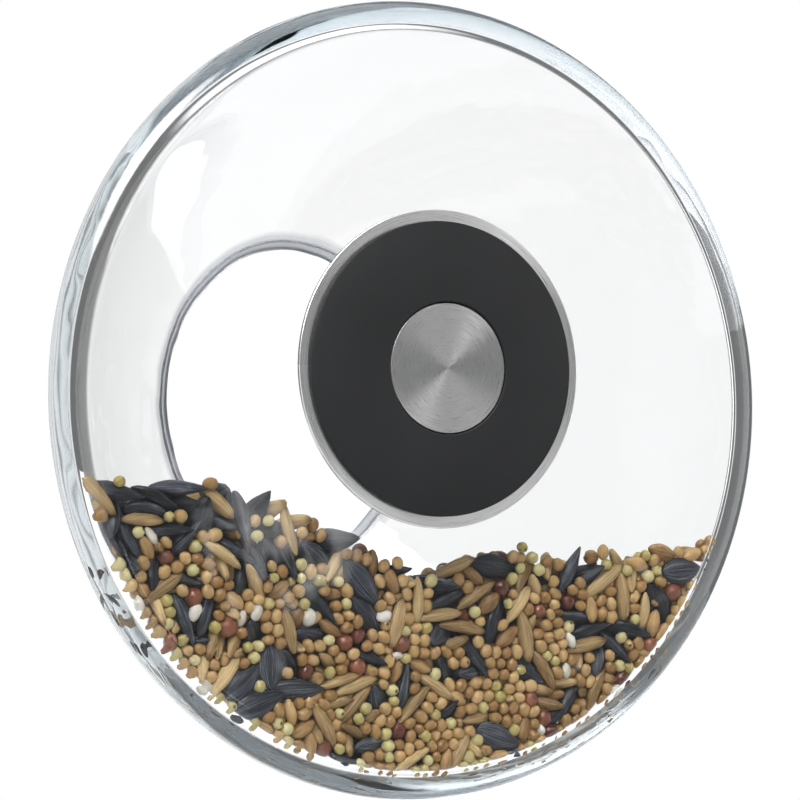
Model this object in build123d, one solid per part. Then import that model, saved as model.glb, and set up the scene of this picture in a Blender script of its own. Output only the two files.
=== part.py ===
from build123d import *
import os
from math import cos, radians, sin

# A glass bird feeder that hangs on a window pane, with a draw-back vacuum hub.
# The origin is the centre of the pad's window face, as it bulges before the hub is drawn tight.
# +Y runs from the pane into the garden and +Z is up. All sizes are millimetres. Hub parts are
# turned about the Y axis.

# Bowl
BOWL_RADIUS = 100.0         # at its widest
BOWL_DROP = 7.0             # bowl axis below the hub axis, so that the bowl hangs upright
LAND_RADIUS = 46.0          # flat part of the front, about the bowl's own axis
FRONT_FALL = 0.9            # how far the front leans back between the land and the rim
FRONT_WALL = 4.6            # at the hub
INNER_FALL = -0.5           # the same for its inner face, which leans forward: the wall thins
RIM_WALL = 5.8
RIM_ROUND = 6.0             # outer corner between the front and the dome
INNER_ROUND = 2.4           # the same corner inside
REAR_SAGITTA = 8.2          # bulge of the dome's outline over its chord
MOUTH_DEPTH = 79.0          # from the front to the end of the lip
MOUTH_RADIUS = 42.0         # half the mouth's height, to the middle of the lip
MOUTH_SQUEEZE = 0.155       # how much narrower than high the mouth is
MOUTH_LIFT = 1.6            # mouth's centre above the bowl's axis
LIP = 2.4                   # wall at the mouth
BEAD = 1.4                  # radius of the fire-polished bead on the lip
ROUND_DEPTH = 11.0          # up to here, from the front, the bowl is round
HOLE_RADIUS = 22.3          # hub hole in the front
DOME_SECTIONS = 8

# Hub stack along Y, from the window pane inwards
PAD_THICK = 1.2             # at its outer edge
PAD_FALL = 2.8              # how far the relaxed pad's outer edge lies behind its inner one
PLATE_THICK = 1.0
FLANGE_THICK = 3.2
OUTER_GASKET = 1.2
INNER_GASKET = 1.3
WASHER_THICK = 1.2
NUT_THICK = 6.0
PLATE_Y = PAD_FALL + PAD_THICK
FLANGE_Y = PLATE_Y + PLATE_THICK
OUTER_GASKET_Y = FLANGE_Y + FLANGE_THICK
GLASS_Y = OUTER_GASKET_Y + OUTER_GASKET
INNER_GASKET_Y = GLASS_Y + FRONT_WALL
WASHER_Y = INNER_GASKET_Y + INNER_GASKET
NUT_Y = WASHER_Y + WASHER_THICK
BARREL_END_Y = NUT_Y + NUT_THICK + 1.3
MOUTH_Y = GLASS_Y + MOUTH_DEPTH

# Hub radii
PLATE_RADIUS = 39.5
PAD_RADIUS = 36.6
PAD_HOLE = 16.4
PAD_LAND = 19.5             # the pad's face is flat up to here
FLANGE_RADIUS = 33.0
BORE_RADIUS = 17.8          # cylinder that the vacuum piston runs in
BARREL_RADIUS = 20.6
WASHER_RADIUS = 28.0
NUT_RADIUS = 27.0
THREAD_PITCH = 1.5
THREAD_DEPTH = 0.8
THREAD_GAP = 0.05

# Fixing screws of the plate
SCREW_CIRCLE = 26.0
SCREW_COUNT = 4
SCREW_RADIUS = 1.5
SCREW_HEAD = 2.9
SCREW_HEAD_DEPTH = 1.5

# Vacuum piston, its rod and the hand knob
TRAVEL = 3.0                # draw of the piston
FACE_Y = 0.3                # the piston's face, just inside the pad's inner edge
FACE_RADIUS = 16.2
PISTON_Y = PLATE_Y + 0.3    # the piston's shoulder
PISTON_RADIUS = 17.6
PISTON_THICK = 5.0
SEAL_SECTION = 2.0
SEAL_GROOVE = 1.9
RUNNING_GAP = 0.06          # radial clearance of the running fits
WEB_THICK = 3.5
ROD_RADIUS = 4.0
THRUST_THICK = 1.0
KNOB_Y = BARREL_END_Y + THRUST_THICK + 0.1
KNOB_END_Y = KNOB_Y + 15.3
ROD_END_Y = KNOB_Y + 10.5
KNOB_RADIUS = 16.5
KNOB_FLUTES = 10
INSERT_END_Y = KNOB_Y + 8.9
INSERT_RADIUS = 6.5
CLIP_GAP = 0.2
CHAMBER_RADIUS = 7.2
CAP_RADIUS = 12.0
CAP_THICK = 1.6
GUIDE_PIN_PLACE = 11.5
GUIDE_PIN_RADIUS = 1.5
GUIDE_FLOOR = 1.4           # of the pin's blind hole, behind the piston's shoulder
GUIDE_BOSS = 3.2

# Seed filling: heights of its top above the bowl's axis, from one side to the other
SEED_GAP = 0.4
SEED_FRONT = [(-100, -20), (-82, -19.5), (-55, -20), (-38, -25), (-22, -33), (-5, -41),
              (8, -43), (22, -37), (45, -36), (62, -39.5), (75, -36), (100, -31)]
SEED_BACK = -47.0           # just under the mouth, so that nothing spills


def turned(points):
    """A solid of revolution about the Y axis from (radius, y) corners."""
    return revolve(make_face(Polyline(*points, close=True)), Axis.Y, 360)


def ring(inner, outer, y, thick):
    """A flat ring about the hub's axis."""
    return turned([(inner, y), (outer, y), (outer, y + thick), (inner, y + thick)])


def disc(radius, y, thick):
    """A flat disc about the hub's axis."""
    return turned([(0, y), (radius, y), (radius, y + thick), (0, y + thick)])


def rod_at(radius, y, length, x=0.0, z=0.0):
    """A round bar along Y."""
    return Pos(x, 0, z) * disc(radius, y, length)


def torus_about_y(major, minor, y):
    """A seal ring about the hub's axis."""
    outline = Pos(major, y) * Circle(minor)
    return revolve(outline, Axis.Y, 360)


def circles(solid, radius):
    """The solid's circular edges of this radius."""
    round_edges = [e for e in solid.edges() if e.geom_type == GeomType.CIRCLE]
    return [e for e in round_edges if abs(e.radius - radius) < 1e-3]


def on_circle(radius, count, start=45.0):
    """Evenly spaced (x, z) places about the hub's axis."""
    angles = [radians(start + 360.0 * k / count) for k in range(count)]
    return [(radius * cos(a), radius * sin(a)) for a in angles]


def thread(crest, y_from, y_to):
    """Points of a V thread's outline, whose crests are at this radius."""
    points = []
    for k in range(int((y_to - y_from) / THREAD_PITCH)):
        points.append((crest, y_from + THREAD_PITCH * (k + 0.1)))
        points.append((crest - THREAD_DEPTH, y_from + THREAD_PITCH * (k + 0.5)))
        points.append((crest, y_from + THREAD_PITCH * (k + 0.9)))
    return points


def mouth_ellipse(half_height):
    """Half width and half height of an ellipse with the mouth's proportions."""
    return half_height * (1 - MOUTH_SQUEEZE), half_height


def bowl_body(front_y, corner, rounding, end, sagitta):
    """The bowl as a filled solid: a flat land, a leaning front, a rounded rim and a dome.

    corner is where the front and the dome would meet without rounding, and end is where the
    dome stops. The dome turns from round into the mouth's oval as it goes back.
    """
    land = (LAND_RADIUS, front_y)
    front = TangentArc(land, corner, tangent=(1, 0))
    dome = SagittaArc(corner, end, -sagitta)
    lines = [Polyline(end, (0, end[1]), (0, front_y), land), front, dome]
    outline = make_face(lines)
    corners = [v for v in outline.vertices() if abs(v.X - corner[0]) < 1e-6]
    outline = fillet(corners, rounding)
    round_y = GLASS_Y + ROUND_DEPTH
    whole = revolve(outline, Axis.Y, 360)
    round_part = split(whole, Plane(origin=(0, round_y, 0), z_dir=(0, 1, 0)), keep=Keep.BOTTOM)
    sections = []
    for k in range(DOME_SECTIONS + 1):
        share = k / DOME_SECTIONS
        y = round_y + (end[1] - round_y) * share
        half = dome_radius(dome, y)
        place = Plane(origin=(0, y, MOUTH_LIFT * share ** 2), x_dir=(1, 0, 0), z_dir=(0, 1, 0))
        sections.append(place * Ellipse(half * (1 - MOUTH_SQUEEZE * share ** 2), half))
    return round_part + loft(sections)


def dome_radius(dome, y):
    """Radius of the dome's outline where it crosses this y."""
    near, far = 0.0, 1.0
    for _ in range(50):
        middle = (near + far) / 2
        if (dome @ middle).Y < y:
            near = middle
        else:
            far = middle
    return (dome @ near).X


def outer_body():
    """The bowl's outer surface, filled."""
    corner = (BOWL_RADIUS + 2.5, GLASS_Y + FRONT_FALL)
    end = (MOUTH_RADIUS + LIP / 2, MOUTH_Y - BEAD)
    return bowl_body(GLASS_Y, corner, RIM_ROUND, end, REAR_SAGITTA)


def inner_body(shrink=0.0):
    """The bowl's inner surface, filled, and smaller all round by shrink."""
    corner = (BOWL_RADIUS - RIM_WALL + 1.0 - shrink, GLASS_Y + FRONT_WALL + INNER_FALL + shrink)
    end = (MOUTH_RADIUS - LIP / 2 - shrink, MOUTH_Y - BEAD)
    return bowl_body(GLASS_Y + FRONT_WALL + shrink, corner, INNER_ROUND, end, REAR_SAGITTA - 0.4)


def make_glass_bowl():
    """Blown glass bowl, with the hub hole in its flat front and a fire-polished mouth."""
    lip_place = Plane(origin=(0, MOUTH_Y - BEAD, MOUTH_LIFT), x_dir=(1, 0, 0), z_dir=(0, 1, 0))
    half_width, half_height = mouth_ellipse(MOUTH_RADIUS)
    path = lip_place * Ellipse(half_width, half_height).wire()
    section = Plane(origin=path @ 0, z_dir=path % 0) * Circle(BEAD)
    lip = sweep(section, path=path, is_frenet=True)
    shell = outer_body() - inner_body()
    shell = Pos(0, 0, -BOWL_DROP) * (shell + lip)
    return shell - rod_at(HOLE_RADIUS, 0, GLASS_Y + 2 * FRONT_WALL)


def make_seed_fill():
    """The seeds as one heap: against the front, high at one side, and level with the mouth."""
    floor = -BOWL_RADIUS - 5
    back = [(x, SEED_BACK) for x, z in SEED_FRONT]
    sections = []
    for y, points in ((GLASS_Y, SEED_FRONT), (MOUTH_Y, back)):
        sketch_plane = Plane(origin=(0, y, 0), x_dir=(1, 0, 0), z_dir=(0, -1, 0))
        corners = points + [(points[-1][0], floor), (points[0][0], floor)]
        sections.append(sketch_plane * make_face(Polyline(*corners, close=True)))
    heap = loft(sections, ruled=True)
    return Pos(0, 0, -BOWL_DROP) * (inner_body(SEED_GAP) & heap)


def make_grip_pad():
    """Soft black ring that seals on the window pane, bulged forward round the piston's face."""
    flat = Polyline((PAD_HOLE, PLATE_Y), (PAD_HOLE, 0), (PAD_LAND, 0))
    fall = TangentArc((PAD_LAND, 0), (PAD_RADIUS, PAD_FALL), tangent=(1, 0))
    back = Polyline((PAD_RADIUS, PAD_FALL), (PAD_RADIUS, PLATE_Y), (PAD_HOLE, PLATE_Y))
    pad = revolve(make_face([flat, fall, back]), Axis.Y, 360)
    inner_edge = [e for e in circles(pad, PAD_HOLE) if abs(e.center().Y) < 1e-6]
    outer_edge = [e for e in circles(pad, PAD_RADIUS) if abs(e.center().Y - PAD_FALL) < 1e-6]
    return fillet(inner_edge + outer_edge, 0.35)


def make_face_plate():
    """Brushed steel plate behind the pad, bored for the piston and countersunk for screws."""
    plate = ring(BORE_RADIUS, PLATE_RADIUS, PLATE_Y, PLATE_THICK)
    plate = fillet(circles(plate, PLATE_RADIUS), 0.25)
    for x, z in on_circle(SCREW_CIRCLE, SCREW_COUNT):
        plate -= Pos(x, 0, z) * screw_shape(THREAD_GAP)
    return plate


def screw_shape(gap=0.0):
    """One countersunk screw from the plate's face into the flange, larger by gap."""
    head = SCREW_HEAD + gap
    shank = SCREW_RADIUS + gap
    neck_y = PLATE_Y + SCREW_HEAD_DEPTH + gap
    end_y = OUTER_GASKET_Y - 0.3
    return turned([(0, PLATE_Y), (head, PLATE_Y), (shank, neck_y), (shank, end_y), (0, end_y)])


def make_plate_screws():
    """The screws that hold the plate to the hub's flange, with hexagon sockets."""
    socket = Pos(0, PLATE_Y, 0) * Rot(-90, 0, 0) * extrude(RegularPolygon(1.0, 6), 1.0)
    screw = screw_shape() - socket
    return Compound(children=[Pos(x, 0, z) * screw for x, z in on_circle(SCREW_CIRCLE, SCREW_COUNT)])


def make_hub_barrel():
    """Moulded flange and threaded barrel that pass through the glass, with a web at the end."""
    web_y = BARREL_END_Y - WEB_THICK
    points = [(BORE_RADIUS, FLANGE_Y), (FLANGE_RADIUS, FLANGE_Y), (FLANGE_RADIUS, OUTER_GASKET_Y),
              (BARREL_RADIUS, OUTER_GASKET_Y), (BARREL_RADIUS, NUT_Y - 0.5)]
    points += thread(BARREL_RADIUS, NUT_Y - 0.5, BARREL_END_Y - 0.5)
    points += [(BARREL_RADIUS - 0.8, BARREL_END_Y), (ROD_RADIUS + RUNNING_GAP, BARREL_END_Y)]
    groove = ROD_RADIUS + SEAL_GROOVE - 0.1
    middle = web_y + WEB_THICK / 2
    points += [(ROD_RADIUS + RUNNING_GAP, middle + SEAL_SECTION / 2 + 0.05)]
    points += [(groove, middle + SEAL_SECTION / 2 + 0.05), (groove, middle - SEAL_SECTION / 2 - 0.05)]
    points += [(ROD_RADIUS + RUNNING_GAP, middle - SEAL_SECTION / 2 - 0.05)]
    points += [(ROD_RADIUS + RUNNING_GAP, web_y), (BORE_RADIUS, web_y)]
    barrel = turned(points)
    barrel -= rod_at(GUIDE_PIN_RADIUS, web_y - 1, WEB_THICK - 0.5, x=GUIDE_PIN_PLACE)
    for x, z in on_circle(SCREW_CIRCLE, SCREW_COUNT):
        barrel -= Pos(x, 0, z) * screw_shape(THREAD_GAP)
    return barrel


def make_ring_nut():
    """Steel nut that clamps the glass, with finger notches round its edge."""
    bore = BARREL_RADIUS + THREAD_GAP
    end_y = NUT_Y + NUT_THICK
    points = [(bore, end_y), (NUT_RADIUS, end_y), (NUT_RADIUS, NUT_Y), (bore, NUT_Y)]
    nut = turned(points + thread(bore, NUT_Y - 0.5, end_y)[1:])
    nut = chamfer(circles(nut, NUT_RADIUS), 0.6)
    for x, z in on_circle(NUT_RADIUS + 2.2, 8, 0):
        nut -= rod_at(4.0, NUT_Y - 1, NUT_THICK + 2, x, z)
    return nut


def make_vacuum_piston():
    """Brushed steel piston, whose face shows through the pad, with rear bosses for rod and pin."""
    groove_y = PISTON_Y + 1.5
    back_y = PISTON_Y + PISTON_THICK
    boss_y = back_y + 2.5
    groove_r = BORE_RADIUS - SEAL_GROOVE - 0.1
    points = [(0, FACE_Y), (FACE_RADIUS - 0.2, FACE_Y), (FACE_RADIUS, FACE_Y + 0.2),
              (FACE_RADIUS, PISTON_Y), (PISTON_RADIUS, PISTON_Y),
              (PISTON_RADIUS, groove_y), (groove_r, groove_y), (groove_r, groove_y + 2.1),
              (PISTON_RADIUS, groove_y + 2.1), (PISTON_RADIUS, back_y), (7, back_y), (7, boss_y),
              (ROD_RADIUS, boss_y), (ROD_RADIUS, PISTON_Y + 2), (0, PISTON_Y + 2)]
    boss = rod_at(GUIDE_BOSS, back_y, 4.0, x=GUIDE_PIN_PLACE)
    guide = rod_at(GUIDE_PIN_RADIUS + RUNNING_GAP, PISTON_Y + GUIDE_FLOOR, 12.0, x=GUIDE_PIN_PLACE)
    return turned(points) + boss - guide


def make_piston_seal():
    """O-ring in the piston's groove, which runs in the barrel."""
    minor = SEAL_SECTION / 2 - 0.06
    return torus_about_y(BORE_RADIUS - RUNNING_GAP - minor, minor, PISTON_Y + 2.55)


def make_piston_rod():
    """Threaded rod from the piston to the knob, grooved for its end clip."""
    start_y = PISTON_Y + 2.0
    clip_y = INSERT_END_Y + CLIP_GAP
    points = [(0, start_y), (ROD_RADIUS, start_y), (ROD_RADIUS, clip_y), (ROD_RADIUS - 0.6, clip_y),
              (ROD_RADIUS - 0.6, clip_y + 0.8), (ROD_RADIUS, clip_y + 0.8),
              (ROD_RADIUS, ROD_END_Y - 0.5), (ROD_RADIUS - 0.5, ROD_END_Y), (0, ROD_END_Y)]
    return turned(points)


def make_rod_lock_nut():
    """Hexagon nut that locks the rod in the piston's boss."""
    y = PISTON_Y + PISTON_THICK + 2.5
    blank = Pos(0, y, 0) * Rot(-90, 0, 0) * extrude(RegularPolygon(6.5, 6, major_radius=False), 4.0)
    return blank - disc(ROD_RADIUS, y - 1, 6)


def make_rod_clip():
    """Spring clip on the rod's end, which keeps the knob from running off."""
    clip = ring(ROD_RADIUS - 0.6, ROD_RADIUS + 2.0, INSERT_END_Y + CLIP_GAP, 0.8)
    gap = Pos(0, INSERT_END_Y + CLIP_GAP, -6) * Box(4.0, 3.0, 9.0)
    return clip - gap


def make_rod_seal():
    """O-ring in the barrel's web, which keeps rain out of the cylinder."""
    minor = SEAL_SECTION / 2 - 0.14
    return torus_about_y(ROD_RADIUS + RUNNING_GAP + minor, minor, BARREL_END_Y - WEB_THICK / 2)


def make_guide_pin():
    """Steel pin in the web that stops the piston from turning."""
    start_y = PISTON_Y + GUIDE_FLOOR + TRAVEL + 0.1
    end_y = BARREL_END_Y - 1.6
    return rod_at(GUIDE_PIN_RADIUS, start_y, end_y - start_y, x=GUIDE_PIN_PLACE)


def make_draw_knob():
    """Fluted hand knob inside the bowl: turning it draws the piston back."""
    points = [(ROD_RADIUS + 0.4, KNOB_Y), (KNOB_RADIUS - 4, KNOB_Y), (KNOB_RADIUS - 1.5, KNOB_Y + 2),
              (KNOB_RADIUS, KNOB_Y + 4), (KNOB_RADIUS, KNOB_END_Y - 2), (KNOB_RADIUS - 2, KNOB_END_Y),
              (CAP_RADIUS, KNOB_END_Y), (CAP_RADIUS, KNOB_END_Y - CAP_THICK),
              (CHAMBER_RADIUS, KNOB_END_Y - CAP_THICK), (CHAMBER_RADIUS, INSERT_END_Y),
              (INSERT_RADIUS, INSERT_END_Y), (INSERT_RADIUS, KNOB_Y + 1.6), (ROD_RADIUS + 0.4, KNOB_Y + 1.6)]
    knob = turned(points)
    for x, z in on_circle(KNOB_RADIUS + 1.4, KNOB_FLUTES, 0):
        knob -= rod_at(3.0, KNOB_Y - 1, KNOB_END_Y - KNOB_Y + 2, x, z)
    return knob


def make_knob_insert():
    """Brass threaded insert moulded into the knob."""
    return ring(ROD_RADIUS + RUNNING_GAP, INSERT_RADIUS, KNOB_Y + 1.6, INSERT_END_Y - KNOB_Y - 1.6)


def make_knob_cap():
    """Brushed steel cap that closes the knob over the rod's end."""
    cap = disc(CAP_RADIUS - THREAD_GAP, KNOB_END_Y - CAP_THICK, CAP_THICK)
    return fillet(cap.edges().group_by(Axis.Y)[-1], 0.4)


PARTS = {
    "glass_bowl": make_glass_bowl,
    "grip_pad": make_grip_pad,
    "face_plate": make_face_plate,
    "plate_screws": make_plate_screws,
    "hub_barrel": make_hub_barrel,
    "outer_gasket": lambda: ring(HOLE_RADIUS + 0.3, FLANGE_RADIUS - 0.5, OUTER_GASKET_Y, OUTER_GASKET),
    "hole_bush": lambda: ring(BARREL_RADIUS + 0.05, HOLE_RADIUS - 0.1, GLASS_Y, FRONT_WALL),
    "inner_gasket": lambda: ring(BARREL_RADIUS + 0.3, WASHER_RADIUS, INNER_GASKET_Y, INNER_GASKET),
    "clamp_washer": lambda: ring(BARREL_RADIUS + 0.3, WASHER_RADIUS, WASHER_Y, WASHER_THICK),
    "ring_nut": make_ring_nut,
    "vacuum_piston": make_vacuum_piston,
    "piston_seal": make_piston_seal,
    "piston_rod": make_piston_rod,
    "rod_lock_nut": make_rod_lock_nut,
    "rod_clip": make_rod_clip,
    "rod_seal": make_rod_seal,
    "guide_pin": make_guide_pin,
    "thrust_washer": lambda: ring(ROD_RADIUS + 0.3, 10.0, BARREL_END_Y, THRUST_THICK),
    "draw_knob": make_draw_knob,
    "knob_insert": make_knob_insert,
    "knob_cap": make_knob_cap,
    "seed_fill": make_seed_fill,
}

os.makedirs("parts", exist_ok=True)
for name, make in PARTS.items():
    solid = make()
    solid.label = name
    export_step(solid, f"parts/{name}.step")
    print(name, round(solid.volume, 1))
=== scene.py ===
import math

import bmesh
import bpy
import numpy as np
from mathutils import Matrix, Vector


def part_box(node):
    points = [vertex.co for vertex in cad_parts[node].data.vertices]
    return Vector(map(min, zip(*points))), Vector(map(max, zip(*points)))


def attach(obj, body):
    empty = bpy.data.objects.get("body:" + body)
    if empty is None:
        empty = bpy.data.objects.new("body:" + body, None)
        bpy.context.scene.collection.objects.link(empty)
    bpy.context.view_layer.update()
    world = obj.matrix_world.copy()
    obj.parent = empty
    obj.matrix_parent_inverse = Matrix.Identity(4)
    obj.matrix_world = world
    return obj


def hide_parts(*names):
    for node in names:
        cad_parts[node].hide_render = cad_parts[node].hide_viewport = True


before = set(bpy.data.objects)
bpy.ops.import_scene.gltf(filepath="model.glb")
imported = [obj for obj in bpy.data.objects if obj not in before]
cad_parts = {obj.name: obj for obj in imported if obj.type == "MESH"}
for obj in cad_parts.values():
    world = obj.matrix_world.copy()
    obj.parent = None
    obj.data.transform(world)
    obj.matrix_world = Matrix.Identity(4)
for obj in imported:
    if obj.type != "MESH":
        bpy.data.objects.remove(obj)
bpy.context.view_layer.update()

MM = 0.001
RNG = np.random.default_rng(7)

# The bowl as in the CAD model: its own axis, and where its front, rim and mouth are.
BOWL_LOW, BOWL_HIGH = (np.array(corner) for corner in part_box("glass_bowl"))
BOWL_RADIUS = (BOWL_HIGH[0] - BOWL_LOW[0]) / 2
BOWL_Z = (BOWL_HIGH[2] + BOWL_LOW[2]) / 2
FRONT_Y = BOWL_LOW[1]
MOUTH_Y = BOWL_HIGH[1]
LAND_RADIUS = 46 * MM               # flat land round the hub hole
FRONT_FALL = 0.9 * MM               # how far the front face lies back where it would meet the dome
FRONT_WALL = 4.6 * MM               # at the land
INNER_FALL = -0.5 * MM              # the same fall of the inner face, which leans forward
RIM_WALL = 5.8 * MM                 # across the rim
RIM_ROUND = 6.0 * MM
INNER_ROUND = 2.4 * MM
RIM_CORNER = 2.5 * MM               # past the widest radius, where front and dome would meet unrounded
INNER_CORNER = 1.0 * MM             # the same inside
MOUTH_RADIUS = 42 * MM
MOUTH_SQUEEZE = 0.155               # share by which the mouth is narrower than it is high
MOUTH_LIFT = 1.6 * MM
LIP = 2.4 * MM
BEAD = 1.4 * MM
HOLE_RADIUS = 22.3 * MM
DOME_SAGITTA = 8.2 * MM
DOME_THINNING = 0.4 * MM            # how much less the inner dome bulges
RIM_Y = FRONT_Y + 5.6 * MM
ROUND_Y = FRONT_Y + 11.0 * MM       # behind this the bowl turns from round into the mouth's oval

# Points along the glass outline, and steps of its mesh round the axis
FRONT_POINTS = 40
DOME_POINTS = 90
BEND_POINTS = 22
LIP_POINTS = 18
LAND_RINGS = 10
BOWL_STEPS = 304

# Floor and surroundings
FLOOR_DROP = 0.33                   # below the bowl
FLOOR_REACH = 1.6
SURROUND = 0.17                     # brightness of the studio outside its lit patches

# Camera: left of the hub's axis and a little below it.
CAMERA_AZIMUTH = -29.0
CAMERA_ELEVATION = -2.6
CAMERA_DISTANCE = 1.0
CAMERA_LENS = 180.2
CAMERA_AIM = (-4.75 * MM, -0.3 * MM)      # right and up of the rim's centre


# ---------------------------------------------------------------- node helpers

def new_material(name):
    """An empty node material with a Principled shader. Returns the material and its shader."""
    material = bpy.data.materials.new(name)
    material.use_nodes = True
    return material, material.node_tree.nodes["Principled BSDF"]


class Nodes:
    """Short calls for building one node tree."""

    def __init__(self, tree):
        self.tree = tree

    def add(self, kind, inputs=(), **settings):
        """A node, with its settings, and its inputs as (socket, value or output) pairs."""
        node = self.tree.nodes.new(kind)
        for key, value in settings.items():
            setattr(node, key, value)
        for socket, value in inputs:
            if isinstance(value, bpy.types.NodeSocket):
                self.tree.links.new(value, node.inputs[socket])
            else:
                node.inputs[socket].default_value = value
        return node

    def math(self, operation, *values):
        node = self.add("ShaderNodeMath", list(enumerate(values)), operation=operation)
        return node.outputs[0]

    def vector(self, operation, *values):
        node = self.add("ShaderNodeVectorMath", list(enumerate(values)), operation=operation)
        return node.outputs["Value" if operation in ("DOT_PRODUCT", "LENGTH") else "Vector"]

    def ramp(self, value, stops):
        """A colour ramp with (position, colour) stops."""
        node = self.add("ShaderNodeValToRGB", [(0, value)])
        elements = node.color_ramp.elements
        while len(elements) < len(stops):
            elements.new(0.5)
        for element, (position, colour) in zip(elements, stops):
            element.position = position
            element.color = (*colour, 1)
        return node.outputs[0]

    def smooth(self, value, low, high, to_low=0.0, to_high=1.0):
        """Maps low to high onto to_low to to_high with soft ends."""
        pairs = [("Value", value), ("From Min", low), ("From Max", high),
                 ("To Min", to_low), ("To Max", to_high)]
        return self.add("ShaderNodeMapRange", pairs, interpolation_type="SMOOTHSTEP").outputs[0]

    def noise(self, vector, scale, detail=3.0, roughness=0.5):
        pairs = [("Vector", vector), ("Scale", scale), ("Detail", detail), ("Roughness", roughness)]
        return self.add("ShaderNodeTexNoise", pairs).outputs["Fac"]

    def bump(self, height, strength, distance):
        pairs = [("Height", height), ("Strength", strength), ("Distance", distance)]
        return self.add("ShaderNodeBump", pairs).outputs[0]

    def link(self, output, socket):
        self.tree.links.new(output, socket)


def object_place(nodes):
    """The point on the object, in metres."""
    return nodes.add("ShaderNodeTexCoord").outputs["Object"]


# ---------------------------------------------------------------- materials

def glass_material():
    """Clear blown glass: blue-grey through its thickness, faintly uneven, ground at the lip."""
    material, shader = new_material("blown_glass")
    nodes = Nodes(material.node_tree)
    place = object_place(nodes)
    shader.inputs["Transmission Weight"].default_value = 1
    shader.inputs["IOR"].default_value = 1.5
    drift = nodes.noise(place, 18, 2)
    depth = nodes.add("ShaderNodeSeparateXYZ", [(0, place)]).outputs[1]
    ground = nodes.smooth(depth, MOUTH_Y - 3.6 * MM, MOUTH_Y - 2.2 * MM, 0.0, 0.34)
    colour = nodes.ramp(ground, [(0.0, (1, 1, 1)), (0.34, (0.52, 0.54, 0.58))])
    nodes.link(colour, shader.inputs["Base Color"])
    rough = nodes.math("ADD", nodes.smooth(drift, 0.3, 0.7, 0.0, 0.012), ground)
    nodes.link(rough, shader.inputs["Roughness"])
    waves = nodes.noise(place, 42, 1.5)
    nodes.link(nodes.bump(waves, 0.08, 0.004), shader.inputs["Normal"])
    volume = nodes.add("ShaderNodeVolumeAbsorption",
                       [("Color", (0.76, 0.83, 0.86, 1)), ("Density", 14.0)])
    output = material.node_tree.nodes["Material Output"]
    nodes.link(volume.outputs[0], output.inputs["Volume"])
    return material


def circular_steel(name, shade, roughness, anisotropy):
    """Stainless steel, brushed in circles about the hub's axis."""
    material, shader = new_material(name)
    nodes = Nodes(material.node_tree)
    place = object_place(nodes)
    apart = nodes.add("ShaderNodeSeparateXYZ", [(0, place)])
    flat = nodes.add("ShaderNodeCombineXYZ", [(0, apart.outputs[0]), (1, apart.outputs[2])]).outputs[0]
    radius = nodes.vector("LENGTH", flat)
    angle = nodes.math("ARCTAN2", apart.outputs[2], apart.outputs[0])
    turns = nodes.add("ShaderNodeCombineXYZ", [(0, nodes.math("MULTIPLY", radius, 5200.0)),
                                               (1, nodes.math("MULTIPLY", angle, 2.4))]).outputs[0]
    scratches = nodes.noise(turns, 1.0, 3, 0.6)
    broad = nodes.noise(place, 60, 2)
    tone = nodes.math("ADD", nodes.math("MULTIPLY", scratches, 0.16),
                      nodes.math("MULTIPLY", broad, 0.05))
    low = (shade - 0.09,) * 3
    high = (shade + 0.07,) * 3
    colour = nodes.ramp(tone, [(0.02, low), (0.2, high)])
    nodes.link(colour, shader.inputs["Base Color"])
    shader.inputs["Metallic"].default_value = 1
    rough = nodes.smooth(scratches, 0.2, 0.8, roughness - 0.05, roughness + 0.06)
    nodes.link(rough, shader.inputs["Roughness"])
    shader.inputs["Anisotropic"].default_value = anisotropy
    tangent = nodes.add("ShaderNodeTangent", direction_type="RADIAL", axis="Y").outputs[0]
    nodes.link(tangent, shader.inputs["Tangent"])
    nodes.link(nodes.bump(scratches, 0.10, 0.00003), shader.inputs["Normal"])
    return material


def plain_steel():
    """Bright turned steel for fasteners, with fine handling marks."""
    material, shader = new_material("bright_steel")
    nodes = Nodes(material.node_tree)
    place = object_place(nodes)
    marks = nodes.noise(place, 900, 4, 0.7)
    colour = nodes.ramp(marks, [(0.3, (0.5, 0.5, 0.51)), (0.7, (0.68, 0.68, 0.69))])
    nodes.link(colour, shader.inputs["Base Color"])
    shader.inputs["Metallic"].default_value = 1
    rough = nodes.smooth(marks, 0.3, 0.7, 0.16, 0.3)
    nodes.link(rough, shader.inputs["Roughness"])
    return material


def soft_black(name, shade, roughness, grain, shine=0.5):
    """Matt black rubber or moulded plastic with a fine grain."""
    material, shader = new_material(name)
    nodes = Nodes(material.node_tree)
    place = object_place(nodes)
    fine = nodes.noise(place, grain, 4, 0.65)
    broad = nodes.noise(place, 35, 2)
    mixed = nodes.math("ADD", nodes.math("MULTIPLY", fine, 0.35), nodes.math("MULTIPLY", broad, 0.65))
    low = tuple(c * shade * 0.86 for c in (0.97, 1.0, 1.04))
    high = tuple(c * shade * 1.14 for c in (0.97, 1.0, 1.04))
    colour = nodes.ramp(mixed, [(0.3, low), (0.7, high)])
    nodes.link(colour, shader.inputs["Base Color"])
    rough = nodes.smooth(fine, 0.25, 0.75, roughness - 0.06, roughness + 0.06)
    nodes.link(rough, shader.inputs["Roughness"])
    shader.inputs["Specular IOR Level"].default_value = shine
    nodes.link(nodes.bump(fine, 0.25, 0.00006), shader.inputs["Normal"])
    return material


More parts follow.
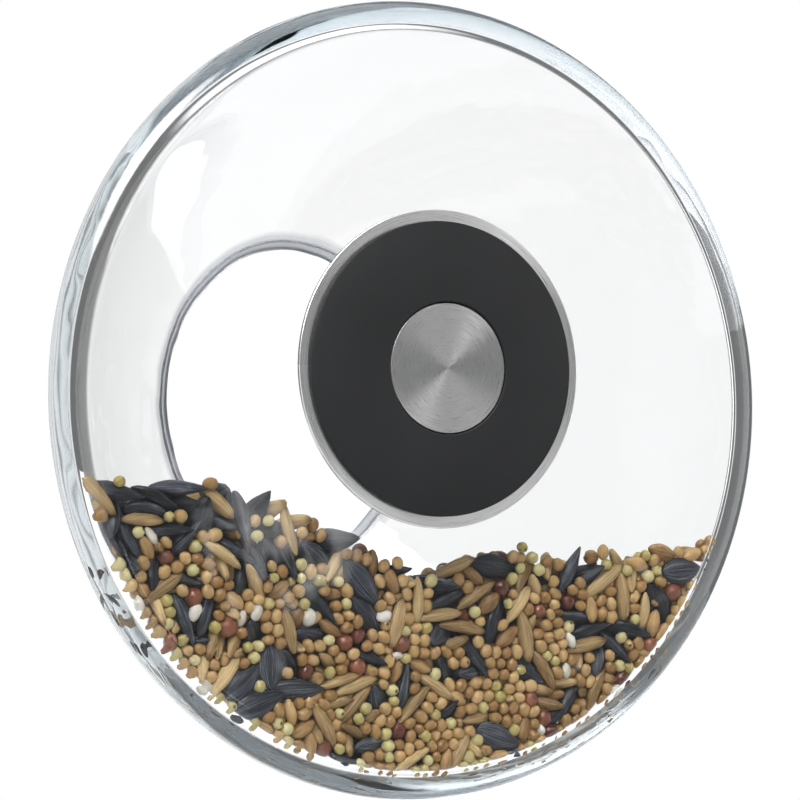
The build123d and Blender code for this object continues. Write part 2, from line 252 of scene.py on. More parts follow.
def silicone_material():
    """Milky silicone of the gaskets."""
    material, shader = new_material("milky_silicone")
    nodes = Nodes(material.node_tree)
    cloud = nodes.noise(object_place(nodes), 120, 3)
    colour = nodes.ramp(cloud, [(0.3, (0.62, 0.64, 0.65)), (0.7, (0.74, 0.76, 0.77))])
    nodes.link(colour, shader.inputs["Base Color"])
    shader.inputs["Roughness"].default_value = 0.42
    shader.inputs["Subsurface Weight"].default_value = 0.3
    shader.inputs["Subsurface Radius"].default_value = (0.002, 0.002, 0.002)
    nodes.link(nodes.bump(cloud, 0.1, 0.0001), shader.inputs["Normal"])
    return material


def brass_material():
    """Machined brass of the knob's insert."""
    material, shader = new_material("machined_brass")
    nodes = Nodes(material.node_tree)
    marks = nodes.noise(object_place(nodes), 700, 4, 0.7)
    colour = nodes.ramp(marks, [(0.3, (0.55, 0.40, 0.16)), (0.7, (0.78, 0.60, 0.28))])
    nodes.link(colour, shader.inputs["Base Color"])
    shader.inputs["Metallic"].default_value = 1
    rough = nodes.smooth(marks, 0.3, 0.7, 0.2, 0.34)
    nodes.link(rough, shader.inputs["Roughness"])
    return material


def acetal_material():
    """Natural acetal of the thrust washer."""
    material, shader = new_material("natural_acetal")
    nodes = Nodes(material.node_tree)
    cloud = nodes.noise(object_place(nodes), 300, 3)
    colour = nodes.ramp(cloud, [(0.3, (0.70, 0.70, 0.66)), (0.7, (0.82, 0.82, 0.79))])
    nodes.link(colour, shader.inputs["Base Color"])
    rough = nodes.smooth(cloud, 0.3, 0.7, 0.3, 0.42)
    nodes.link(rough, shader.inputs["Roughness"])
    return material


def paper_material():
    """Matt grey paper of the floor."""
    material, shader = new_material("studio_paper")
    nodes = Nodes(material.node_tree)
    fibres = nodes.noise(object_place(nodes), 12, 3)
    colour = nodes.ramp(fibres, [(0.2, (0.48, 0.49, 0.50)), (0.8, (0.52, 0.53, 0.54))])
    nodes.link(colour, shader.inputs["Base Color"])
    shader.inputs["Roughness"].default_value = 0.9
    return material


def dress_hub():
    """Gives every carried-over CAD node its material."""
    rubber = soft_black("matt_rubber", 0.0125, 0.6, 1500, 0.12)
    nylon = soft_black("black_nylon", 0.022, 0.42, 900)
    steel = plain_steel()
    silicone = silicone_material()
    looks = {
        "grip_pad": rubber,
        "piston_seal": rubber,
        "rod_seal": rubber,
        "hub_barrel": nylon,
        "draw_knob": nylon,
        "face_plate": circular_steel("brushed_plate", 0.76, 0.30, 0.75),
        "vacuum_piston": circular_steel("brushed_piston", 0.55, 0.30, 0.80),
        "knob_cap": circular_steel("brushed_cap", 0.56, 0.28, 0.75),
        "ring_nut": circular_steel("turned_nut", 0.55, 0.26, 0.55),
        "outer_gasket": silicone,
        "inner_gasket": silicone,
        "hole_bush": silicone,
        "knob_insert": brass_material(),
        "thrust_washer": acetal_material(),
    }
    for name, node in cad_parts.items():
        look = looks.get(name, steel)
        for slot in node.material_slots:
            slot.material = look


# ---------------------------------------------------------------- the blown bowl

def arc_between(start, end, sagitta, count):
    """Points of a circular arc from start to end that bulges outwards by sagitta."""
    start, end = np.array(start), np.array(end)
    chord = end - start
    length = np.linalg.norm(chord)
    along = chord / length
    outward = np.array([along[1], -along[0]])
    radius = (length ** 2 / 4 + sagitta ** 2) / (2 * sagitta)
    centre = (start + end) / 2 + outward * (sagitta - radius)
    half = math.asin(length / 2 / radius)
    turns = np.linspace(-half, half, count)
    return centre + radius * (np.outer(np.cos(turns), outward) + np.outer(np.sin(turns), along))


def unit(vector):
    return vector / np.linalg.norm(vector)


def bezier(a, b, c, d, count):
    """Points of a cubic curve."""
    t = np.linspace(0, 1, count)[:, None]
    return (1 - t) ** 3 * a + 3 * (1 - t) ** 2 * t * b + 3 * (1 - t) * t ** 2 * c + t ** 3 * d


def wall_line(front_y, fall, corner_radius, end, sagitta, rounding):
    """One face of the wall as (radius, y) points, from the flat land round the rim to end."""
    corner = np.array([corner_radius, front_y + fall])
    share = np.linspace(0, 1, FRONT_POINTS)
    front = np.stack([LAND_RADIUS + (corner[0] - LAND_RADIUS) * share,
                      front_y + fall * share ** 2], axis=1)
    dome = arc_between(corner, end, sagitta, DOME_POINTS)
    turn = math.acos(np.clip(unit(front[-1] - front[-2]) @ unit(dome[1] - dome[0]), -1, 1))
    reach = rounding * math.tan(turn / 2)
    front = front[np.linalg.norm(front - corner, axis=1) > reach]
    dome = dome[np.linalg.norm(dome - corner, axis=1) > reach]
    into = unit(front[-1] - front[-2])
    away = unit(dome[1] - dome[0])
    handle = 4 / 3 * math.tan(turn / 4) * rounding
    bend = bezier(front[-1], front[-1] + into * handle, dome[0] - away * handle, dome[0],
                  BEND_POINTS)
    return np.concatenate([front, bend[1:-1], dome])


def oval_share(y):
    """How far the outline has turned into the mouth's oval at this y, 0 to 1."""
    return np.clip((y - ROUND_Y) / (MOUTH_Y - BEAD - ROUND_Y), 0, 1) ** 2


def bowl_section():
    """The wall's closed outline as (radius, y) points: outer face, lip, and inner face back."""
    lip_y = MOUTH_Y - BEAD
    outer = wall_line(FRONT_Y, FRONT_FALL, BOWL_RADIUS + RIM_CORNER,
                      (MOUTH_RADIUS + LIP / 2, lip_y), DOME_SAGITTA, RIM_ROUND)
    inner = wall_line(FRONT_Y + FRONT_WALL, INNER_FALL, BOWL_RADIUS - RIM_WALL + INNER_CORNER,
                      (MOUTH_RADIUS - LIP / 2, lip_y), DOME_SAGITTA - DOME_THINNING, INNER_ROUND)
    bead = np.linspace(0, math.pi, LIP_POINTS)[1:-1]
    lip = np.stack([MOUTH_RADIUS + BEAD * np.cos(bead), lip_y + BEAD * np.sin(bead)], axis=1)
    return np.concatenate([outer, lip, inner[::-1]])


def blown_bowl(section):
    """The glass as a closed mesh.

    The hub hole is off the bowl's own axis, so rings of points are blended between it and the
    edge of the flat land.
    """
    steps = BOWL_STEPS
    angles = np.linspace(0, 2 * math.pi, steps, endpoint=False)
    rows = []
    for radius, y in section:
        share = oval_share(y)
        across = radius * (1 - MOUTH_SQUEEZE * share) * np.cos(angles)
        up = BOWL_Z + MOUTH_LIFT * share + radius * np.sin(angles)
        rows.append(np.stack([across, np.full(steps, y), up], axis=1))
    hole = HOLE_RADIUS * np.stack([np.cos(angles), np.zeros(steps), np.sin(angles)], axis=1)
    edge_in, edge_out = rows[-1], rows[0]
    for share in np.linspace(0, 1, LAND_RINGS)[1:]:
        row = edge_in * (1 - share) + hole * share
        row[:, 1] = FRONT_Y + FRONT_WALL
        rows.append(row)
    for share in np.linspace(1, 0, LAND_RINGS)[:-1]:
        row = edge_out * (1 - share) + hole * share
        row[:, 1] = FRONT_Y
        rows.append(row)
    points = np.concatenate(rows)
    count = len(rows)
    faces = []
    for i in range(count):
        j = (i + 1) % count
        for k in range(steps):
            m = (k + 1) % steps
            faces.append((i * steps + k, j * steps + k, j * steps + m, i * steps + m))
    mesh = bpy.data.meshes.new("blown_bowl")
    mesh.from_pydata(points.tolist(), [], faces)
    mesh.polygons.foreach_set("use_smooth", [True] * len(faces))
    mesh.update()
    bowl = bpy.data.objects.new("blown_bowl", mesh)
    bpy.context.scene.collection.objects.link(bowl)
    tidy = bmesh.new()
    tidy.from_mesh(mesh)
    bmesh.ops.recalc_face_normals(tidy, faces=tidy.faces)
    tidy.to_mesh(mesh)
    tidy.free()
    mesh.materials.append(glass_material())
    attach(bowl, "feeder")
    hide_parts("glass_bowl")


# ---------------------------------------------------------------- the seeds

# The heap's top against the front glass, as (x, height from the bowl's axis), and its height at the
# mouth's end. Millimetres.
HEAP_FRONT = [(-100, -20), (-82, -19.5), (-55, -20), (-38, -25), (-22, -33), (-5, -41),
              (8, -43), (22, -37), (45, -36), (62, -39.5), (75, -36), (100, -31)]
HEAP_BACK = -47
SEED_VOLUME_SHARE = 0.70
SETTLE_ROUNDS = 260
SCATTER_TRIES = 400000
PILE_FACES = 180000                 # most triangles in one piece
SIZE_SPREAD = (0.9, 1.1)
BODY_SHARE = 0.52                   # of a seed's box that the seed fills
SCATTER_REACH = 96 * MM             # of the box in which places are tried, from the bowl's axis
SCATTER_TOP = -12 * MM

# Settling: gaps, and how far a ball is moved in one round
WALL_GAP = 0.12 * MM
NEIGHBOUR_GAP = 1.2 * MM            # balls this close are followed until pairs are found again
PAIR_ROUNDS = 6
RELAXATION = 1.25
TOP_PUSH = 0.35                     # share of a ball's height above the heap that one round takes off
SINK = 0.02 * MM
FRONT_DRAW, FRONT_RANGE = 0.12 * MM, 3.5 * MM
WALL_DRAW, WALL_RANGE = 0.14 * MM, 4.0 * MM
MOST_SPIN = 0.25

# Each kind: its share of the seeds' volume, its length, width and thickness, the mesh's rings and
# segments, and the stand-in balls that it is packed with, as (along, across, radius). Millimetres.
KINDS = {
    "sunflower": dict(share=0.40, size=(15.0, 7.2, 4.0), grid=(15, 16),
                      balls=[(-5.0, 0, 1.4), (-2.2, -0.9, 1.8), (-2.2, 0.9, 1.8), (0.8, -1.6, 1.9),
                             (0.8, 1.6, 1.9), (3.6, -1.4, 1.8), (3.6, 1.4, 1.8), (5.9, 0, 1.6)]),
    "oat": dict(share=0.20, size=(12.4, 3.8, 3.2), grid=(13, 14),
                balls=[(-4.8, 0, 1.0), (-2.6, 0, 1.6), (0, 0, 1.75), (2.6, 0, 1.6), (4.8, 0, 1.0)]),
    "grain": dict(share=0.06, size=(7.2, 4.0, 3.5), grid=(11, 12),
                  balls=[(-1.8, 0, 1.6), (0, 0, 1.8), (1.8, 0, 1.5)]),
    "dari": dict(share=0.05, size=(4.8, 4.6, 4.2), grid=(9, 12), balls=[(0, 0, 2.2)]),
    "chip": dict(share=0.01, size=(4.6, 3.4, 2.2), grid=(7, 8), balls=[(-0.8, 0, 1.2), (0.8, 0, 1.2)]),
    "ochre_millet": dict(share=0.20, size=(3.6, 3.1, 3.0), grid=(8, 10),
                         balls=[(-0.2, 0, 1.48), (0.25, 0, 1.42)]),
    "pale_millet": dict(share=0.08, size=(3.2, 3.1, 3.0), grid=(8, 10), balls=[(0, 0, 1.5)]),
}


def heap_height(x, y):
    """Height of the heap's top, metres, at x and y in metres."""
    places, heights = np.array(HEAP_FRONT).T
    share = np.clip((y - FRONT_Y) / (MOUTH_Y - FRONT_Y), 0, 1)
    front = np.interp(x / MM, places, heights)
    broad = 1.1 * np.sin(x / (6.3 * MM) + 1.3) * np.cos(y / (7.9 * MM))
    small = 0.7 * np.sin(x / (3.1 * MM) + y / (4.2 * MM))
    lumps = broad + small
    return BOWL_Z + MM * (front * (1 - share) + HEAP_BACK * share + lumps)


def cavity_limits(section):
    """The inner wall as two tables of (radius, y): the front, and the dome behind it."""
    inner = section[np.argmax(section[:, 1]) + 1:][::-1]
    widest = np.argmax(inner[:, 0])
    front, dome = inner[:widest + 1], inner[widest:]
    return front, dome


def wall_push(points, radii, front, dome):
    """How far each ball has to move to be inside the glass."""
    x, y, z = points.T
    push = np.zeros_like(points)
    share = oval_share(y)
    squeeze, lift = 1 - MOUTH_SQUEEZE * share, MOUTH_LIFT * share
    across, up = x / squeeze, z - BOWL_Z - lift
    away = np.hypot(across, up) + 1e-9
    front_y = np.interp(away, front[:, 0], front[:, 1])
    short = front_y + radii + WALL_GAP - y
    push[:, 1] += np.maximum(short, 0)
    radius = np.interp(y, dome[:, 1], dome[:, 0])
    behind = np.interp(y + 0.5 * MM, dome[:, 1], dome[:, 0])
    ahead = np.interp(y - 0.5 * MM, dome[:, 1], dome[:, 0])
    slope = (behind - ahead) / MM
    lean = 1 / np.sqrt(1 + slope ** 2)
    short = np.maximum(radii + WALL_GAP - (radius - away) * lean, 0)
    push[:, 0] -= short * lean * across / away
    push[:, 2] -= short * lean * up / away
    push[:, 1] += short * lean * slope
    over = z - heap_height(x, y)
    push[:, 2] -= TOP_PUSH * np.maximum(over, 0)
    return push


def close_pairs(points, radii, owner, reach):
    """Pairs of balls of different seeds that nearly touch, found on a grid of cells."""
    low = points.min(axis=0) - reach
    cells = np.floor((points - low) / reach).astype(np.int64)
    wide = cells.max(axis=0) + 3
    keys = (cells[:, 0] * wide[1] + cells[:, 1]) * wide[2] + cells[:, 2]
    order = np.argsort(keys, kind="stable")
    ranked = keys[order]
    found = []
    for dx in (-1, 0, 1):
        for dy in (-1, 0, 1):
            for dz in (-1, 0, 1):
                shift = (dx * wide[1] + dy) * wide[2] + dz
                if shift < 0:
                    continue
                start = np.searchsorted(ranked, keys + shift, "left")
                stop = np.searchsorted(ranked, keys + shift, "right")
                many = stop - start
                first = np.repeat(np.arange(len(points)), many)
                offset = np.arange(many.sum()) - np.repeat(np.cumsum(many) - many, many)
                second = order[np.repeat(start, many) + offset]
                keep = owner[first] != owner[second]
                if shift == 0:
                    keep &= first < second
                first, second = first[keep], second[keep]
                apart = np.linalg.norm(points[first] - points[second], axis=1)
                near = apart < radii[first] + radii[second] + NEIGHBOUR_GAP
                found.append(np.stack([first[near], second[near]]))
    return np.concatenate(found, axis=1)


def row_sums(owner, rows, count):
    """For each owner, the sum of its rows of three numbers."""
    columns = [np.bincount(owner, rows[:, axis], minlength=count) for axis in range(3)]
    return np.stack(columns, axis=1)


def turn_by(spin):
    """Rotation matrices of many rotation vectors."""
    angle = np.linalg.norm(spin, axis=1)[:, None, None]
    axis = spin / np.maximum(angle[:, :, 0], 1e-12)
    cross = np.zeros((len(spin), 3, 3))
    cross[:, 0, 1], cross[:, 0, 2], cross[:, 1, 2] = -axis[:, 2], axis[:, 1], -axis[:, 0]
    cross[:, 1, 0], cross[:, 2, 0], cross[:, 2, 1] = axis[:, 2], -axis[:, 1], axis[:, 0]
    return np.eye(3) + np.sin(angle) * cross + (1 - np.cos(angle)) * cross @ cross


def random_turns(count):
    """Random orientations, as rotation matrices."""
    quads, _ = np.linalg.qr(RNG.normal(size=(count, 3, 3)))
    quads[:, :, 0] *= np.sign(np.linalg.det(quads))[:, None]
    return quads


def scatter_seeds(front, dome):
    """Random first places of all seeds inside the heap.

    Sunflower seeds gather near its top, most of all on the left, where millet is scarcer.
    """
    low = np.array([-SCATTER_REACH, FRONT_Y + FRONT_WALL, BOWL_Z - SCATTER_REACH])
    high = np.array([SCATTER_REACH, MOUTH_Y - 6 * MM, BOWL_Z + SCATTER_TOP])
    tries = low + (high - low) * RNG.random((SCATTER_TRIES, 3))
    fits = np.linalg.norm(wall_push(tries, np.full(len(tries), 1.0 * MM), front, dome), axis=1) < 1e-9
    volume = np.prod(high - low) * fits.mean() * SEED_VOLUME_SHARE
    places = tries[fits]
    kinds, centres = [], []
    for name, kind in KINDS.items():
        each = BODY_SHARE * np.prod(kind["size"]) * MM ** 3
        count = int(volume * kind["share"] / each)
        left = np.clip((10 * MM - places[:, 0]) / (90 * MM), 0, 1)
        below = heap_height(places[:, 0], places[:, 1]) - places[:, 2]
        top = np.clip(1 - below / (20 * MM), 0, 1)
        weight = np.ones(len(places))
        if name == "sunflower":
            weight = 1 + (5.0 * left * top + 0.8 * top)
        if "millet" in name:
            weight = weight / (1 + 1.6 * left * top)
        picks = RNG.choice(len(places), count, replace=False, p=weight / weight.sum())
        kinds += [name] * count
        centres.append(places[picks])
        places = np.delete(places, picks, axis=0)
    return kinds, np.concatenate(centres)


def settle_seeds(section):
    """Pushes overlapping seeds apart and against the glass until they lie packed.

    Returns the seeds' kinds, centres, turns and sizes.
    """
    front, dome = cavity_limits(section)
    kinds, centres = scatter_seeds(front, dome)
    count = len(kinds)
    turns = random_turns(count)
    sizes = RNG.uniform(*SIZE_SPREAD, count)
    owner = np.concatenate([np.full(len(KINDS[k]["balls"]), i) for i, k in enumerate(kinds)])
    balls = np.array([ball for k in kinds for ball in KINDS[k]["balls"]])
    local = np.stack([balls[:, 0], balls[:, 1], np.zeros(len(balls))], axis=1) * MM * sizes[owner, None]
    radii = balls[:, 2] * MM * sizes[owner]
    per_seed = np.bincount(owner, minlength=count).astype(float)
    inertia = np.bincount(owner, (local ** 2).sum(axis=1) + 0.4 * radii ** 2, minlength=count)
    inner_y = FRONT_Y + FRONT_WALL
    rounds = SETTLE_ROUNDS
    for step in range(rounds):
        arms = np.einsum("nij,nj->ni", turns[owner], local)
        points = centres[owner] + arms
        if step % PAIR_ROUNDS == 0:
            first, second = close_pairs(points, radii, owner, 2 * radii.max() + NEIGHBOUR_GAP)
        between = points[first] - points[second]
        apart = np.linalg.norm(between, axis=1) + 1e-12
        deep = np.maximum(radii[first] + radii[second] - apart, 0)
        move = between / apart[:, None] * (0.5 * deep)[:, None]
        shift = row_sums(first, move, len(points)) - row_sums(second, move, len(points))
        touching = (np.bincount(first, deep > 0, minlength=len(points))
                    + np.bincount(second, deep > 0, minlength=len(points)))
        shift *= RELAXATION / np.maximum(touching, 1)[:, None] ** 0.5
        shift += wall_push(points + shift, radii, front, dome)
        calm = 1 - step / rounds
        shift[:, 2] -= SINK * calm
        near_front = np.exp(-(points[:, 1] - inner_y - radii) / FRONT_RANGE)
        shift[:, 1] -= FRONT_DRAW * calm * np.clip(near_front, 0, 1)
        height = points[:, 2] - BOWL_Z
        away = np.hypot(points[:, 0], height)
        room = np.interp(points[:, 1], dome[:, 1], dome[:, 0]) - away - radii
        near_wall = WALL_DRAW * calm * np.exp(-np.maximum(room, 0) / WALL_RANGE) / away
        shift[:, 0] += near_wall * points[:, 0]
        shift[:, 2] += near_wall * height
        pull = row_sums(owner, shift, count)
        centres = centres + pull / per_seed[:, None] * np.minimum(per_seed, 2.0)[:, None] ** 0.5
        torque = row_sums(owner, np.cross(arms, shift), count)
        spin = np.clip(torque / inertia[:, None], -MOST_SPIN, MOST_SPIN)
        turns = turn_by(spin) @ turns
    arms = np.einsum("nij,nj->ni", turns[owner], local)
    points = centres[owner] + arms
    last = wall_push(points, radii, front, dome)
    for axis in range(3):
        worst = np.zeros(count)
        np.maximum.at(worst, owner, last[:, axis])
        least = np.zeros(count)
        np.minimum.at(least, owner, last[:, axis])
        centres[:, axis] += worst + least
    return np.array(kinds), centres, turns, sizes


def profile(name, t):
    """Half width of a seed's outline, 0 to 1, along its length."""
    if name == "sunflower":
        return np.sin(np.pi * (0.01 + 0.98 * t) ** 1.32) ** 0.66
    if name == "oat":
        return np.sin(np.pi * (0.02 + 0.96 * t) ** 0.95) ** 0.6
    if name == "grain":
        return np.sin(np.pi * t ** 1.1) ** 0.52
    return np.sqrt(np.maximum(1 - (2 * t - 1) ** 2, 0))


def seed_template(name):
    """One seed as points, their normalised places (along, across, around) and faces."""
    length, width, thick = (s * MM for s in KINDS[name]["size"])
    rings, segments = KINDS[name]["grid"]
    t = (1 - np.cos(np.linspace(0, np.pi, rings + 1)))[1:-1] / 2
    around = np.linspace(0, 2 * np.pi, segments, endpoint=False)
    half = profile(name, t)[:, None]
    side, up = np.cos(around), np.sin(around)
    if name == "sunflower":
        up = np.sign(up) * np.abs(up) ** 1.2
    if name in ("oat", "grain"):
        up = up * (1 - 0.22 * np.exp(-((around - np.pi / 2) / 0.35) ** 2))
    x = (t[:, None] - 0.5) * length + 0 * half * side
    y = half * side * width / 2
    z = half * up * thick / 2
    if name == "oat":
        z = z + 0.5 * MM * np.cos(np.pi * (t[:, None] - 0.5))
    points = np.stack([x, y, z], axis=2).reshape(-1, 3)
    places = np.stack([t[:, None] + 0 * x, side + 0 * x, up + 0 * x], axis=2).reshape(-1, 3)
    ends = np.array([[-length / 2, 0, 0], [length / 2, 0, 0]])
    points = np.concatenate([points, ends])
    places = np.concatenate([places, [[0, 0, 0], [1, 0, 0]]])
    tip, tail = len(points) - 2, len(points) - 1
    quads, fans = [], []
    for r in range(len(t) - 1):
        for s in range(segments):
            n = (s + 1) % segments
            here, beyond = r * segments, (r + 1) * segments
            quads.append((here + s, beyond + s, beyond + n, here + n))
    last = (len(t) - 1) * segments
    for s in range(segments):
        n = (s + 1) % segments
        fans.append((tip, s, n))
        fans.append((tail, last + n, last + s))
    return points, places, np.array(quads), np.array(fans)


def seed_pile(name, material, centres, turns, sizes, label):
    """All seeds of one kind as one piece."""
    points, places, quads, fans = seed_template(name)
    count, each = len(centres), len(points)
    lumps = 1 + RNG.normal(0, 0.05 if name == "chip" else 0.015, (count, each, 1))
    stretch = RNG.uniform(*SIZE_SPREAD, (count, 1, 3))
    shaped = points[None] * sizes[:, None, None] * lumps * stretch
    moved = np.einsum("nij,nkj->nki", turns, shaped) + centres[:, None]
    base = np.arange(count)[:, None, None] * each
    faces = (quads[None] + base).reshape(-1, 4).tolist() + (fans[None] + base).reshape(-1, 3).tolist()
    mesh = bpy.data.meshes.new(label)
    mesh.from_pydata(moved.reshape(-1, 3).tolist(), [], faces)
    mesh.polygons.foreach_set("use_smooth", [True] * len(mesh.polygons))
    spot = mesh.attributes.new("spot", "FLOAT_VECTOR", "POINT")
    spot.data.foreach_set("vector", np.tile(places, (count, 1)).ravel())
    mesh.materials.append(material)
    mesh.update()
    pile = bpy.data.objects.new(label, mesh)
    bpy.context.scene.collection.objects.link(pile)
    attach(pile, "feeder")
    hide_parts("seed_fill")


def seed_base(name):
    """A seed material's start: node helper, shader, place on the seed, and per-seed chance."""
    material, shader = new_material(name)
    nodes = Nodes(material.node_tree)
    named = nodes.add("ShaderNodeAttribute", attribute_name="spot", attribute_type="GEOMETRY")
    spot = named.outputs["Vector"]
    chance = nodes.add("ShaderNodeNewGeometry").outputs["Random Per Island"]
    return material, shader, nodes, spot, chance


def sunflower_material():
    """Blue-black husk with pale lengthwise streaks."""
    material, shader, nodes, spot, chance = seed_base("sunflower_husk")
    apart = nodes.add("ShaderNodeSeparateXYZ", [(0, spot)])
    lane = nodes.add("ShaderNodeCombineXYZ", [(0, nodes.math("MULTIPLY", apart.outputs[0], 0.9)),
                                              (1, nodes.math("MULTIPLY", apart.outputs[1], 8.0)),
                                              (2, nodes.math("MULTIPLY", chance, 91.0))]).outputs[0]
    streaks = nodes.noise(lane, 1.6, 3, 0.6)
    fine = nodes.noise(object_place(nodes), 1500, 3, 0.6)
    tone = nodes.math("ADD", streaks, nodes.math("MULTIPLY", nodes.math("SUBTRACT", chance, 0.5), 0.16))
    tone = nodes.math("ADD", tone, nodes.math("MULTIPLY", nodes.math("SUBTRACT", fine, 0.5), 0.18))
    colour = nodes.ramp(tone, [(0.36, (0.006, 0.007, 0.010)), (0.50, (0.022, 0.026, 0.037)),
                               (0.62, (0.065, 0.075, 0.098)), (0.78, (0.24, 0.25, 0.27))])
    nodes.link(colour, shader.inputs["Base Color"])
    rough = nodes.smooth(fine, 0.3, 0.7, 0.34, 0.5)
    nodes.link(rough, shader.inputs["Roughness"])
    shader.inputs["Specular IOR Level"].default_value = 0.3
    nodes.link(nodes.bump(streaks, 0.3, 0.0004), shader.inputs["Normal"])
    return material


def husk_material(name, dark, light, streak):
    """Dry tan husk: lengthwise fibres, one end darker, and each seed a little different."""
    material, shader, nodes, spot, chance = seed_base(name)
    apart = nodes.add("ShaderNodeSeparateXYZ", [(0, spot)])
    lane = nodes.add("ShaderNodeCombineXYZ", [(0, apart.outputs[0]),
                                              (1, nodes.math("MULTIPLY", apart.outputs[1], streak)),
                                              (2, nodes.math("MULTIPLY", chance, 57.0))]).outputs[0]
    fibres = nodes.noise(lane, 1.8, 3, 0.6)
    tone = nodes.math("ADD", fibres, nodes.math("MULTIPLY", nodes.math("SUBTRACT", chance, 0.5), 0.5))
    ends = nodes.smooth(apart.outputs[0], 0.16, 0.0, 0.0, 0.35)
    tone = nodes.math("SUBTRACT", tone, ends)
    middle = tuple((d + l) / 2 for d, l in zip(dark, light))
    colour = nodes.ramp(tone, [(0.2, dark), (0.5, middle), (0.8, light)])
    nodes.link(colour, shader.inputs["Base Color"])
    rough = nodes.smooth(fibres, 0.3, 0.7, 0.38, 0.52)
    nodes.link(rough, shader.inputs["Roughness"])
    shader.inputs["Subsurface Weight"].default_value = 0.12
    shader.inputs["Subsurface Radius"].default_value = (0.0012, 0.0007, 0.0003)
    nodes.link(nodes.bump(fibres, 0.5, 0.0004), shader.inputs["Normal"])
    return material


def millet_material(name, dark, light):
    """Small glossy round grain with a dark dot at one end."""
    material, shader, nodes, spot, chance = seed_base(name)
    apart = nodes.add("ShaderNodeSeparateXYZ", [(0, spot)])
    cloud = nodes.noise(object_place(nodes), 900, 3, 0.6)
    tone = nodes.math("ADD", nodes.math("MULTIPLY", cloud, 0.35), nodes.math("MULTIPLY", chance, 0.65))
    body = nodes.ramp(tone, [(0.2, dark), (0.85, light)])
    dot = nodes.smooth(apart.outputs[0], 0.045, 0.015)
    mixed = nodes.add("ShaderNodeMix", [("Factor", dot), (6, body), (7, (0.10, 0.055, 0.025, 1))],
                      data_type="RGBA")
    nodes.link(mixed.outputs[2], shader.inputs["Base Color"])
    rough = nodes.smooth(cloud, 0.3, 0.7, 0.26, 0.4)
    nodes.link(rough, shader.inputs["Roughness"])
    shader.inputs["Subsurface Weight"].default_value = 0.15
    shader.inputs["Subsurface Radius"].default_value = (0.001, 0.0006, 0.0002)
    nodes.link(nodes.bump(cloud, 0.3, 0.0002), shader.inputs["Normal"])
    return material


def make_seeds(section):
    """The whole heap, one piece for each kind."""
    looks = {
        "sunflower": sunflower_material(),
        "oat": husk_material("oat_husk", (0.20, 0.11, 0.030), (0.70, 0.51, 0.25), 3.4),
        "grain": husk_material("grain_husk", (0.22, 0.11, 0.032), (0.62, 0.40, 0.17), 2.0),
        "dari": millet_material("dari_skin", (0.10, 0.020, 0.010), (0.30, 0.10, 0.045)),
        "chip": husk_material("maize_chip", (0.62, 0.56, 0.45), (0.85, 0.82, 0.75), 1.2),
        "ochre_millet": millet_material("ochre_millet_skin", (0.31, 0.165, 0.045), (0.64, 0.43, 0.19)),
        "pale_millet": millet_material("pale_millet_skin", (0.44, 0.36, 0.11), (0.70, 0.62, 0.32)),
    }
    kinds, centres, turns, sizes = settle_seeds(section)
    for name, look in looks.items():
        mine = np.flatnonzero(kinds == name)
        faces_each = 2 * KINDS[name]["grid"][1] * (KINDS[name]["grid"][0] - 1)
        parts = max(1, math.ceil(len(mine) * faces_each / PILE_FACES))
        for number, group in enumerate(np.array_split(mine, parts)):
            label = f"{name}_seeds_{number + 1}"
            seed_pile(name, look, centres[group], turns[group], sizes[group], label)


# ---------------------------------------------------------------- studio

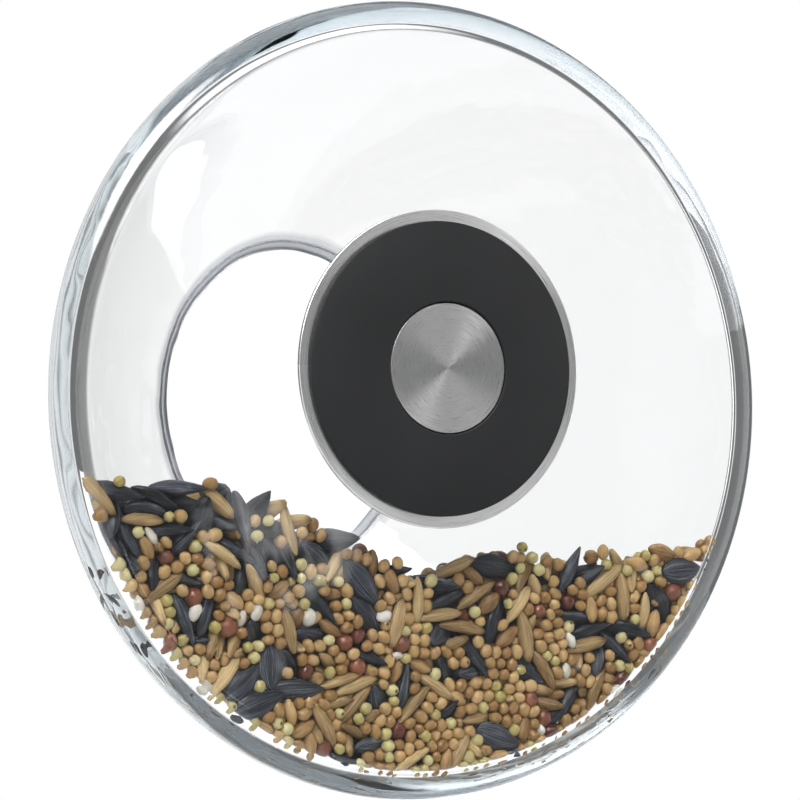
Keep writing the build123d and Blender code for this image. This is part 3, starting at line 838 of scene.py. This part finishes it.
def studio_world():
    """White where the camera sees it directly.

    All else is lit by dim surroundings with a backdrop beyond the garden side, a strong key light
    up and left of the camera, and three weaker patches.
    """
    world = bpy.data.worlds.new("studio")
    bpy.context.scene.world = world
    world.use_nodes = True
    nodes = Nodes(world.node_tree)
    background = world.node_tree.nodes["Background"]
    background.inputs["Color"].default_value = (1, 1, 1, 1)
    direction = nodes.add("ShaderNodeTexCoord").outputs["Generated"]

    def patch(centre, inner, outer, strength):
        """A round patch of light: full within the inner angle of its centre, none past the outer."""
        facing = nodes.vector("DOT_PRODUCT", direction, tuple(Vector(centre).normalized()))
        edge, full = math.cos(math.radians(outer)), math.cos(math.radians(inner))
        return nodes.smooth(facing, edge, full, 0.0, strength)

    patches = [
        patch((0.48, 0.87, 0.05), 9, 33, 0.92),       # backdrop
        patch((-0.5, -0.6, 0.85), 10, 24, 24.0),       # key, above and left of the camera
        patch((0.1, 0.2, 1.0), 14, 34, 1.5),           # overhead
        patch((0.93, -0.42, 0.10), 12, 30, 2.2),       # fill from the right
        patch((0.45, -0.89, 0.01), 0.4, 1.5, 2.6),     # small lamp mirrored by the front glass
    ]
    light = SURROUND
    for lit in patches:
        light = nodes.math("ADD", light, lit)
    seen = nodes.add("ShaderNodeLightPath").outputs["Is Camera Ray"]
    shown = nodes.add("ShaderNodeMix", [("Factor", seen), ("A", light), ("B", 1.0)], data_type="FLOAT")
    nodes.link(shown.outputs[0], background.inputs["Strength"])


def floor_plane():
    """A plain floor well below the hanging feeder."""
    mesh = bpy.data.meshes.new("studio_floor")
    corners = [(-1, -1), (1, -1), (1, 1), (-1, 1)]
    height = BOWL_LOW[2] - FLOOR_DROP
    places = [(x * FLOOR_REACH, y * FLOOR_REACH, height) for x, y in corners]
    mesh.from_pydata(places, [], [(0, 1, 2, 3)])
    floor = bpy.data.objects.new("studio_floor", mesh)
    bpy.context.scene.collection.objects.link(floor)
    mesh.materials.append(paper_material())


def add_camera():
    """The camera, aimed a little beside the rim's centre."""
    a, e = math.radians(CAMERA_AZIMUTH), math.radians(CAMERA_ELEVATION)
    back = Vector((math.sin(a) * math.cos(e), -math.cos(a) * math.cos(e), math.sin(e)))
    right = Vector((math.cos(a), math.sin(a), 0))
    up = back.cross(right)
    data = bpy.data.cameras.new("photo_camera")
    data.lens = CAMERA_LENS
    camera = bpy.data.objects.new("photo_camera", data)
    bpy.context.scene.collection.objects.link(camera)
    aim = Vector((0, RIM_Y, BOWL_Z)) + right * CAMERA_AIM[0] + up * CAMERA_AIM[1]
    camera.location = aim + back * CAMERA_DISTANCE
    camera.rotation_euler = back.to_track_quat("Z", "Y").to_euler()
    bpy.context.scene.camera = camera


def set_look():
    """Plain colours, and enough light bounces for thick glass."""
    scene = bpy.context.scene
    scene.view_settings.view_transform = "Standard"
    scene.cycles.max_bounces = 48
    scene.cycles.transmission_bounces = 48
    scene.cycles.glossy_bounces = 48
    scene.cycles.diffuse_bounces = 4


set_look()
studio_world()
floor_plane()
add_camera()
dress_hub()
outline = bowl_section()
blown_bowl(outline)
make_seeds(outline)
